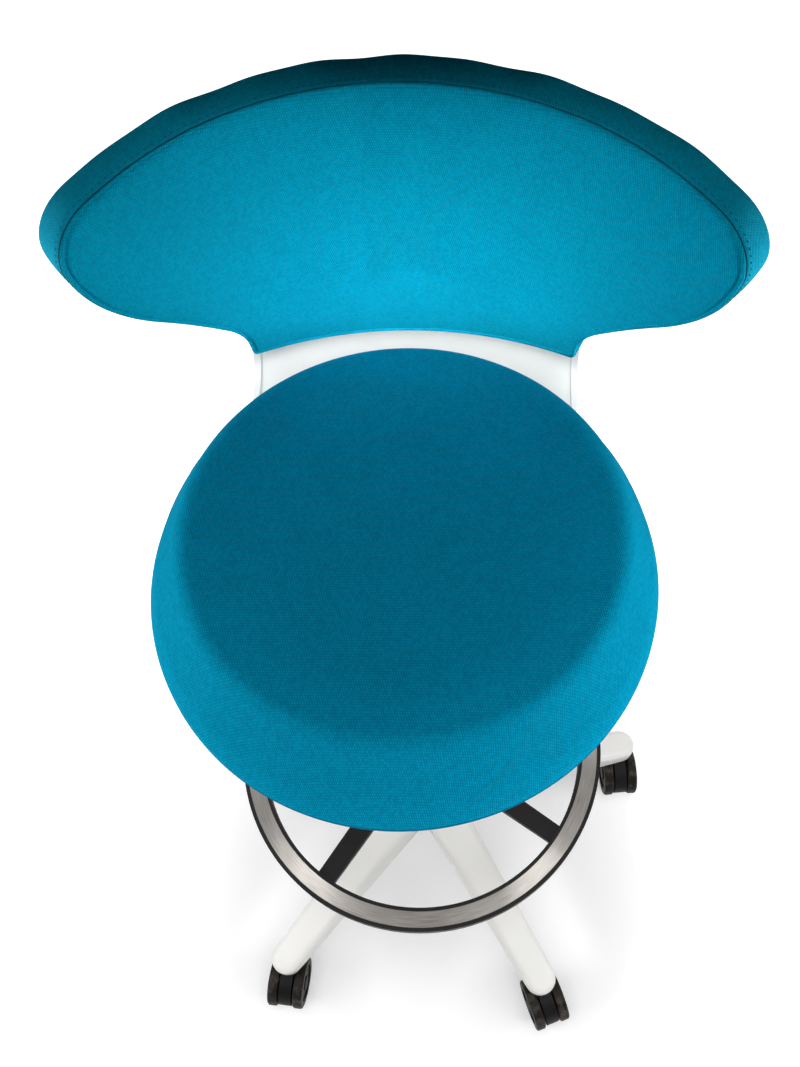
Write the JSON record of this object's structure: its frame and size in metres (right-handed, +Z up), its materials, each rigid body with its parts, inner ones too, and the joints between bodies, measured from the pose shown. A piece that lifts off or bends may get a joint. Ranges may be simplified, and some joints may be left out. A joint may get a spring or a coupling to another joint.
{
  "type": "high desk chair",
  "caption": "High desk chair: round padded seat, wide winged backrest on a moulded shell, gas-lift column, clamped foot ring and a star base on castors.",
  "frame": {"origin": "on the floor, on the axis of the gas column", "axes": "+Z up along the column, -Y the way the sitter faces, +X to the sitter's left"},
  "size_m": [0.5882, 0.6111, 1.0395],
  "materials": {
    "teal_fabric": "woven upholstery cloth",
    "teal_piping": "upholstery cord in the same cloth",
    "white_plastic": "satin moulded",
    "black_plastic": "fine-grained moulded",
    "castor_body": "satin moulded",
    "castor_wheel": "satin moulded",
    "tread_steel": "brushed along the ring",
    "black_metal": "powder coated",
    "column_steel": "black nitrided",
    "steel": "zinc plated",
    "aluminium": "turned",
    "plywood": "bare plywood",
    "acetal": "moulded",
    "rubber": "moulded"
  },
  "bodies": {
    "base": {"star_base": "white_plastic", "castor_sockets": "acetal", "column_tube": "black_metal", "guide_bush": "black_plastic", "bearing_lower_race": "steel", "bearing_balls": "steel", "bearing_cage": "acetal"},
    "rod": {"piston_rod": "steel", "piston": "aluminium", "rod_clip": "steel", "bearing_upper_race": "steel"},
    "seat": {"pressure_tube": "column_steel", "tube_gland": "aluminium", "mechanism_housing": "black_metal", "lever_pin": "steel", "seat_pan": "plywood", "seat_screws": "steel", "seat_cushion": "teal_fabric", "seat_piping": "teal_piping", "hinge_pin": "steel", "tilt_buffer": "rubber"},
    "lever": {"height_lever": "black_metal", "lever_paddle": "black_plastic"},
    "valve": {"release_pin": "steel"},
    "back": {"back_shell": "white_plastic", "back_board": "plywood", "back_pad": "teal_fabric", "pad_screws": "steel", "hinge_bushes": "acetal"},
    "foot_ring": {"footring_rim": "black_plastic", "footring_tread": "tread_steel", "footring_spider": "black_plastic", "footring_screws": "steel", "clamp_shoe": "acetal"},
    "knob": {"clamp_knob": "black_plastic"},
    "castor_1": {"castor_1_body": "castor_body", "castor_1_stem": "steel", "castor_1_axle": "steel"},
    "castor_1_left_wheel": {"castor_1_left_wheel": "castor_wheel"},
    "castor_1_right_wheel": {"castor_1_right_wheel": "castor_wheel"},
    "castor_2": {"castor_2_body": "castor_body", "castor_2_stem": "steel", "castor_2_axle": "steel"},
    "castor_2_left_wheel": {"castor_2_left_wheel": "castor_wheel"},
    "castor_2_right_wheel": {"castor_2_right_wheel": "castor_wheel"},
    "castor_3": {"castor_3_body": "castor_body", "castor_3_stem": "steel", "castor_3_axle": "steel"},
    "castor_3_left_wheel": {"castor_3_left_wheel": "castor_wheel"},
    "castor_3_right_wheel": {"castor_3_right_wheel": "castor_wheel"},
    "castor_4": {"castor_4_body": "castor_body", "castor_4_stem": "steel", "castor_4_axle": "steel"},
    "castor_4_left_wheel": {"castor_4_left_wheel": "castor_wheel"},
    "castor_4_right_wheel": {"castor_4_right_wheel": "castor_wheel"},
    "castor_5": {"castor_5_body": "castor_body", "castor_5_stem": "steel", "castor_5_axle": "steel"},
    "castor_5_left_wheel": {"castor_5_left_wheel": "castor_wheel"},
    "castor_5_right_wheel": {"castor_5_right_wheel": "castor_wheel"}
  },
  "joints": [
    {"name": "seat_swivel", "type": "hinge", "parent": "base", "child": "rod", "pos_m": [0, 0, 0.2], "axis": [0, 0, 1], "continuous": true},
    {"name": "seat_height", "type": "slide", "parent": "rod", "child": "seat", "axis": [0, 0, 1], "range_m": [-0.2, 0.025]},
    {"name": "lever_lift", "type": "hinge", "parent": "seat", "child": "lever", "pos_m": [-0.025, 0, 0.748], "axis": [0, 1, 0], "range_deg": [0, 9], "stiffness_Nm_per_rad": 3, "springref_deg": -5.73},
    {"name": "valve_press", "type": "slide", "parent": "seat", "child": "valve", "axis": [0, 0, -1], "range_m": [0, 0.004]},
    {"name": "back_tilt", "type": "hinge", "parent": "seat", "child": "back", "pos_m": [0, 0.07, 0.742], "axis": [-1, 0, 0], "range_deg": [0, 12], "stiffness_Nm_per_rad": 140, "springref_deg": -8.59, "deforming": ["tilt_buffer"]},
    {"name": "foot_ring_height", "type": "slide", "parent": "base", "child": "foot_ring", "axis": [0, 0, 1], "range_m": [-0.12, 0.06]},
    {"name": "knob_turn", "type": "hinge", "parent": "foot_ring", "child": "knob", "pos_m": [0, 0, 0.34], "axis": [-0.1959, 0.9806, 0], "range_deg": [0, 360]},
    {"name": "castor_1_swivel", "type": "hinge", "parent": "base", "child": "castor_1", "pos_m": [-0.17893, -0.21861, 0.06], "axis": [0, 0, 1], "continuous": true},
    {"name": "castor_1_left_roll", "type": "hinge", "parent": "castor_1", "child": "castor_1_left_wheel", "pos_m": [-0.18144, -0.24248, 0.0325], "axis": [0.9945, -0.1045, 0], "continuous": true},
    {"name": "castor_1_right_roll", "type": "hinge", "parent": "castor_1", "child": "castor_1_right_wheel", "pos_m": [-0.18144, -0.24248, 0.0325], "axis": [0.9945, -0.1045, 0], "continuous": true},
    {"name": "castor_2_swivel", "type": "hinge", "parent": "base", "child": "castor_2", "pos_m": [0.15262, -0.23773, 0.06], "axis": [0, 0, 1], "continuous": true},
    {"name": "castor_2_left_roll", "type": "hinge", "parent": "castor_2", "child": "castor_2_left_wheel", "pos_m": [0.16122, -0.26013, 0.0325], "axis": [0.9336, 0.3584, 0], "continuous": true},
    {"name": "castor_2_right_roll", "type": "hinge", "parent": "castor_2", "child": "castor_2_right_wheel", "pos_m": [0.16122, -0.26013, 0.0325], "axis": [0.9336, 0.3584, 0], "continuous": true},
    {"name": "castor_3_swivel", "type": "hinge", "parent": "base", "child": "castor_3", "pos_m": [0.27325, 0.07169, 0.06], "axis": [0, 0, 1], "continuous": true},
    {"name": "castor_3_left_roll", "type": "hinge", "parent": "castor_3", "child": "castor_3_left_wheel", "pos_m": [0.27535, 0.04778, 0.0325], "axis": [0.9962, 0.0872, 0], "continuous": true},
    {"name": "castor_3_right_roll", "type": "hinge", "parent": "castor_3", "child": "castor_3_right_wheel", "pos_m": [0.27535, 0.04778, 0.0325], "axis": [0.9962, 0.0872, 0], "continuous": true},
    {"name": "castor_4_swivel", "type": "hinge", "parent": "base", "child": "castor_4", "pos_m": [0.01626, 0.28203, 0.06], "axis": [0, 0, 1], "continuous": true},
    {"name": "castor_4_left_roll", "type": "hinge", "parent": "castor_4", "child": "castor_4_left_wheel", "pos_m": [0.01046, 0.25874, 0.0325], "axis": [0.9703, -0.2419, 0], "continuous": true},
    {"name": "castor_4_right_roll", "type": "hinge", "parent": "castor_4", "child": "castor_4_right_wheel", "pos_m": [0.01046, 0.25874, 0.0325], "axis": [0.9703, -0.2419, 0], "continuous": true},
    {"name": "castor_5_swivel", "type": "hinge", "parent": "base", "child": "castor_5", "pos_m": [-0.2632, 0.10262, 0.06], "axis": [0, 0, 1], "continuous": true},
    {"name": "castor_5_left_roll", "type": "hinge", "parent": "castor_5", "child": "castor_5_left_wheel", "pos_m": [-0.25945, 0.07891, 0.0325], "axis": [0.9877, 0.1564, 0], "continuous": true},
    {"name": "castor_5_right_roll", "type": "hinge", "parent": "castor_5", "child": "castor_5_right_wheel", "pos_m": [-0.25945, 0.07891, 0.0325], "axis": [0.9877, 0.1564, 0], "continuous": true}
  ],
  "couplings": [
    {"joint": "valve_press", "follows": "lever_lift", "m_per_rad": 0.025}
  ]
}
